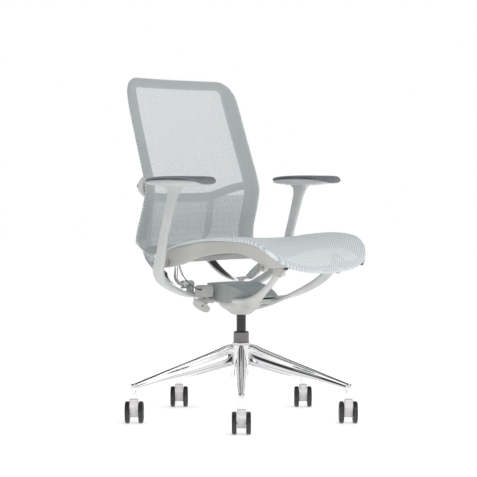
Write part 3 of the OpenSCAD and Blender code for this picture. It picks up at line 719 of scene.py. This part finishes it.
def half_back(z):
    """Half the back's width, which narrows upwards."""
    return 252 + (640 - z) * 0.04


def on_back(x, z, d):
    """A point of the back's hollow surface, moved back by d."""
    q = x / half_back(z)
    return np.array([x, edge_y(z) + BACK_HOLLOW * (1 - q * q) + d, z])


def back_outline(k):
    """Round-cornered outline of the back, k points between each two of the CAD's."""
    r, q = 62, 52
    heights = (BACK_LOW + q + 30, 590, 620, 650, 677, 705, 740, 790, 850, BACK_TOP - r - 25)
    right = [[half_back(z), z] for z in heights]
    arcs = [(math.radians(a), half_back(BACK_TOP) - r, BACK_TOP - r, r) for a in range(10, 91, 20)]
    arc_top = [[x + c * math.cos(a), z + c * math.sin(a)] for a, x, z, c in arcs]
    arcs = [(math.radians(a), half_back(BACK_LOW) - q, BACK_LOW + q, q) for a in range(-90, -9, 20)]
    arc_low = [[x + c * math.cos(a), z + c * math.sin(a)] for a, x, z, c in arcs]
    half = [[70, BACK_LOW], [140, BACK_LOW]] + arc_low + right + arc_top + [[120, BACK_TOP], [50, BACK_TOP]]
    return smooth_loop(half + mirrored_points(half), k)


def back_frame():
    outer = back_outline(1)
    n = len(outer)
    ways = [unit(outer[(i + 1) % n] - outer[i - 1]) for i in range(n)]
    inward = [np.array([-d[1], d[0]]) for d in ways]
    widths = [FRAME_SIDE + (FRAME_TOP - FRAME_SIDE) * v[1] ** 2 for v in inward]
    far = [on_back(p[0], p[1], FRAME_BEHIND) for p in outer]
    near = [on_back(*(outer[i] + inward[i] * widths[i]), FRAME_BEHIND) for i in range(n)]
    s = Shape()
    s.hoop([(a + b) / 2 for a, b in zip(far, near)], widths, [FRAME_THICK] * n,
           [unit(b - a) for a, b in zip(far, near)], 6, section(24, 0.6))
    make("back_frame_shell", s.points, s.faces, "warm", "back", ["back_frame"])


def web(outline, place, steps, wrap):
    """Rings of a stretched sheet: wrap rings round the edge, then steps, shares of the outline, inwards."""
    n = len(outline)
    centre = outline.mean(axis=0)
    ways = [unit(outline[(i + 1) % n] - outline[i - 1]) for i in range(n)]
    outward = np.array([[d[1], -d[0]] for d in ways])
    rows, flat = [], []
    for out, deep in wrap:
        at = outline + outward * out
        rows.append([place(p[0], p[1], deep) for p in at])
        flat.append(at)
    for s in steps:
        at = centre + (outline - centre) * s
        rows.append([place(p[0], p[1], 0.0) for p in at])
        flat.append(at)
    points, uv = np.concatenate(rows), np.concatenate(flat)
    faces = []
    for i in range(len(rows) - 1):
        a, b = i * n, (i + 1) * n
        faces += [[a + j, a + (j + 1) % n, b + (j + 1) % n, b + j] for j in range(n)]
    points = np.vstack([points, place(centre[0], centre[1], 0.0)])
    uv = np.vstack([uv, centre])
    tip = len(points) - 1
    faces += [[(len(rows) - 1) * n + j, (len(rows) - 1) * n + (j + 1) % n, tip] for j in range(n)]
    return points, faces, uv


def back_mesh():
    outline = back_outline(4)
    wrap = [(0.6, 9.0), (1.8, 6.5), (2.2, 3.0), (1.2, 0.6), (-1.5, -0.2)]
    steps = [0.985, 0.96, 0.92, 0.86, 0.78, 0.70, 0.62, 0.54, 0.46, 0.38, 0.30, 0.22, 0.14, 0.07]
    points, faces, uv = web(outline, on_back, steps, wrap)
    obj = make("back_mesh_cloth", points, faces, "back", "back", ["back_mesh"], uv=uv)


def lumbar_mesh():
    rows, cols = 24, 40
    points, uv, faces = [], [], []
    for i in range(rows + 1):
        z = LUMBAR_LOW + (LUMBAR_TOP - LUMBAR_LOW) * i / rows
        for j in range(cols + 1):
            x = (2 * j / cols - 1) * (half_back(z) - LUMBAR_MARGIN)
            points.append(on_back(x, z, LUMBAR_BEHIND))
            uv.append([x * 1.02, z * 1.03])
    for i in range(rows):
        for j in range(cols):
            a = i * (cols + 1) + j
            faces.append([a, a + 1, a + cols + 2, a + cols + 1])
    obj = make("lumbar_mesh_cloth", points, faces, "lumbar", "back", ["lumbar_mesh"], uv=uv)


both_sides(carrier, "carrier_bar", "polished", "back", "carrier")
crossbar()
knuckles()
back_frame()
back_mesh()
lumbar_mesh()

# ---- Seat ----

SEAT_HALF = 236
SEAT_SAG = 9
SHELL_X = 235
CLIP_X = 172
BOSS_X = 220
# Right half of the seat's frame, from the rear rail's end round to the front rail's middle
SHELL_MID = [[-190, 116, 476], [-226, 96, 478], [-235, 70, 483], [-235, 20, 493], [-235, -45, 510],
             [-235, -110, 519], [-235, -165, 521.5], [-234, -212, 519], [-228, -256, 504.5],
             [-212, -290, 487], [-176, -312, 477], [-116, -322, 464], [-40, -326, 460]]
SHELL_HEIGHT = [22, 44, 50, 50, 42, 37, 33, 33, 38, 39, 22, 16, 14]
SHELL_THICK = [11, 11, 11, 11, 11, 11, 11, 11, 10, 9, 7, 6, 6]
RIM_FOOT = [12, 9, 10, 13, 13, 14, 16, 17, 18, 17, 16, 14, 12]
RIM_HEAD = [1, 1, 1, 1, 1, 1, 1, 1.5, 2.5, 4, 5.5, 6.5, 7]
RIM_WIDTH = [12, 12, 12, 12, 12, 12, 12, 12, 11, 9, 7, 6, 6]
# The seat's side edge as (y, z), from the rear to the front
SEAT_LINE = [[128, 496], [84, 510], [30, 527], [-35, 539], [-100, 547], [-160, 551], [-210, 549], [-255, 540],
             [-288, 521], [-314, 497], [-334, 470]]


def on_seat(x, y, d):
    """A point of the seat's surface, moved up by d."""
    q = x / SEAT_HALF
    return np.array([x, y, edge_y(y, SEAT_LINE) - SEAT_SAG * (1 - q * q) + d])


def seat_shell():
    s = Shape()
    path = SHELL_MID + mirrored_points(SHELL_MID) + [[60, 126, 474], [-60, 126, 474]]
    high = SHELL_HEIGHT + SHELL_HEIGHT[::-1] + [16, 16]
    thick = SHELL_THICK + SHELL_THICK[::-1] + [11, 11]
    s.hoop(path, high, thick, [[0, 0, 1]] * len(path), 8, section(32, 0.36))
    clips, screws = Shape(), Shape()
    for side in (-1, 1):
        pin, boss, face = side * SHELL_X, side * BOSS_X, side * (BOSS_X + 7)
        s.rod((pin - 5.8, *SEAT_PIN), (pin + 5.8, *SEAT_PIN), 13, 1.0)
        s.rod((boss - 7, *GUIDE_PIN), (boss + 7, *GUIDE_PIN), 10, 1.0)
        clips.rod((side * CLIP_X, -312, 461), (side * CLIP_X, -312, 468), 6.5, 1.2)
        screws.rod((face - side, *GUIDE_PIN), (face + side * 2.2, *GUIDE_PIN), 6, 0.8)
    make("seat_guide_screws", screws.points, screws.faces, "bronzed", "seat")
    make("seat_bumper_clips", clips.points, clips.faces, "rubber", "seat", ["seat_bumpers"])
    make("seat_shell_plates", s.points, s.faces, "warm", "seat", ["seat_shell"])


# A dark grey band round the seat mesh's edge: painted shade in the gap between the plates and the mesh
def seat_rim():
    loop = [[p[0] * 0.992, p[1] * 0.992 - 0.85] for p in SHELL_MID]
    loop = loop + mirrored_points(loop) + [[60, 125], [-60, 125]]
    foot = RIM_FOOT + RIM_FOOT[::-1] + [8, 8]
    head = RIM_HEAD + RIM_HEAD[::-1] + [1, 1]
    wide = RIM_WIDTH + RIM_WIDTH[::-1] + [12, 12]
    path = [on_seat(p[0], p[1], -(a + b) / 2) for p, a, b in zip(loop, foot, head)]
    s = Shape()
    s.hoop(path, wide, [a - b for a, b in zip(foot, head)],
           [unit([p[0], p[1] * 0.6, 0]) for p in path], 6, section(20, 0.8))
    make("seat_rim_painted_shade", s.points, s.faces, "shade", "seat", ["seat_mesh_rim"])


def seat_mesh():
    loop = [[p[0], p[1]] for p in SHELL_MID]
    outline = smooth_loop(loop + mirrored_points(loop) + [[60, 124], [-60, 124]], 5)

    def ease(t):
        t = min(1.0, max(0.0, t))
        return t * t * (3 - 2 * t)

    def place(x, y, d):
        deeper = 0.7 + 0.55 * ease((-60 - y) / 120) + 0.45 * ease((-250 - y) / 70)
        return on_seat(x, max(y, SEAT_LINE[-1][0]), 1.0 - d * deeper)

    wrap = [(2.0, 13.0), (5.0, 11.0), (6.5, 6.0), (5.5, 2.5), (2.5, 0.5)]
    steps = [0.985, 0.96, 0.93, 0.88, 0.82, 0.75, 0.68, 0.60, 0.52, 0.44, 0.36, 0.28, 0.20, 0.12, 0.06]
    points, faces, uv = web(outline, place, steps, wrap)
    obj = make("seat_mesh_cloth", points, faces, "seat", "seat", ["seat_mesh"], uv=uv)


seat_shell()
seat_rim()
seat_mesh()

# ---- Materials of the CAD nodes that stay ----

KEPT = {
    "bronzed": ["seat_pins", "lever_screw"],
    "steel": ["caster_stems", "piston_rod", "valve_pin", "arm_screws", "pivot_pins"]
    + [f"caster_axle_{i}" for i in range(1, 6)],
    "casting": ["seat_guides"],
    "tube": ["lift_tube"],
    "rod": ["lift_cylinder"],
    "black": ["lift_bearings", "release_actuator", "carrier_bushes", "knuckle_caps"],
    "rubber": ["recline_spring"],
    # The mechanism cover gets the darker grey that paints the shade on its concave sides
    "shade": ["mechanism_cover"],
    "warm": ["control_box", "lever_shaft"],
    "caster": [f"caster_housing_{i}" for i in range(1, 6)],
    "tyre": [f"caster_wheel_{s}_{i}" for s in "ab" for i in range(1, 6)],
}
BEVELLED = {"mechanism_cover": 2.5, "control_box": 1.6, "release_actuator": 1.0, "seat_guides": 1.0}

for key, nodes in KEPT.items():
    for node in nodes:
        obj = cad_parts[node]
        obj.data.materials.clear()
        obj.data.materials.append(M[key])
        if node in BEVELLED:
            bevel = obj.modifiers.new("soft_edges", "BEVEL")
            bevel.width = BEVELLED[node] * MM
            bevel.segments = 3
            bevel.limit_method = "ANGLE"
            bevel.angle_limit = math.radians(40)
            bevel.harden_normals = False

# ---- Floor and light ----

FLOOR_HALF = 9.0


def add_floor():
    mesh = bpy.data.meshes.new("studio_floor")
    corners = [(x * FLOOR_HALF, y * FLOOR_HALF, 0) for x, y in ((-1, -1), (1, -1), (1, 1), (-1, 1))]
    mesh.from_pydata(corners, [], [(0, 1, 2, 3)])
    obj = bpy.data.objects.new("studio_floor", mesh)
    scene.collection.objects.link(obj)
    n = Nodes("studio_floor")
    n.link(n.mix(n.noise(1.5), (0.93, 0.93, 0.93, 1), (0.95, 0.95, 0.95, 1)), n.shader.inputs["Base Color"])
    n.shader.inputs["Roughness"].default_value = 0.9
    n.shader.inputs["Emission Color"].default_value = (1, 1, 1, 1)
    n.shader.inputs["Emission Strength"].default_value = 0.46
    mesh.materials.append(n.material)


def add_world():
    """White surroundings. What the polished metal mirrors has a grey band and a dark ceiling."""
    world = bpy.data.worlds.new("studio")
    world.use_nodes = True
    tree = world.node_tree
    back = tree.nodes["Background"]
    coords = tree.nodes.new("ShaderNodeTexCoord")
    parts = tree.nodes.new("ShaderNodeSeparateXYZ")
    tree.links.new(coords.outputs["Generated"], parts.inputs[0])
    ramp = tree.nodes.new("ShaderNodeValToRGB")
    ramp.color_ramp.interpolation = "EASE"
    stops = [(0.0, 1.0), (0.53, 1.0), (0.57, 0.62), (0.62, 0.90), (0.70, 0.85), (0.75, 0.12), (0.82, 0.04),
             (1.0, 0.02)]
    while len(ramp.color_ramp.elements) < len(stops):
        ramp.color_ramp.elements.new(0.5)
    for element, (at, value) in zip(ramp.color_ramp.elements, stops):
        element.position = at
        element.color = (value, value, value * 1.01, 1)
    height = tree.nodes.new("ShaderNodeMapRange")
    height.inputs["From Min"].default_value = -1.0
    tree.links.new(parts.outputs[2], height.inputs["Value"])
    tree.links.new(height.outputs["Result"], ramp.inputs["Fac"])
    path = tree.nodes.new("ShaderNodeLightPath")
    lit = (0.62, 0.62, 0.63, 1)
    for ray, colour in (("Is Glossy Ray", ramp.outputs["Color"]), ("Is Camera Ray", (1, 1, 1, 1))):
        mix = tree.nodes.new("ShaderNodeMix")
        mix.data_type = "RGBA"
        tree.links.new(path.outputs[ray], mix.inputs[0])
        for socket, value in ((mix.inputs[6], lit), (mix.inputs[7], colour)):
            if isinstance(value, tuple):
                socket.default_value = value
            else:
                tree.links.new(value, socket)
        lit = mix.outputs[2]
    tree.links.new(lit, back.inputs["Color"])
    back.inputs["Strength"].default_value = 1.0
    scene.world = world


def add_light(name, place, target, size, power):
    data = bpy.data.lights.new(name, "AREA")
    data.size = size
    data.energy = power
    obj = bpy.data.objects.new(name, data)
    obj.location = place
    way = np.array(target, float) - np.array(place, float)
    flat = math.hypot(way[0], way[1])
    obj.rotation_euler = (math.atan2(flat, -way[2]), 0, math.atan2(-way[0], way[1]))
    scene.collection.objects.link(obj)


add_floor()
add_world()
add_light("key", (-1.2, -2.6, 3.0), (0, 0, 0.4), 1.8, 26)
add_light("fill", (2.6, -1.0, 2.2), (0, 0, 0.5), 2.0, 8)
scene.view_settings.view_transform = "Standard"

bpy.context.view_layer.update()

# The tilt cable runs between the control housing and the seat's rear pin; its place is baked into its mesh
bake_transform(tilt)
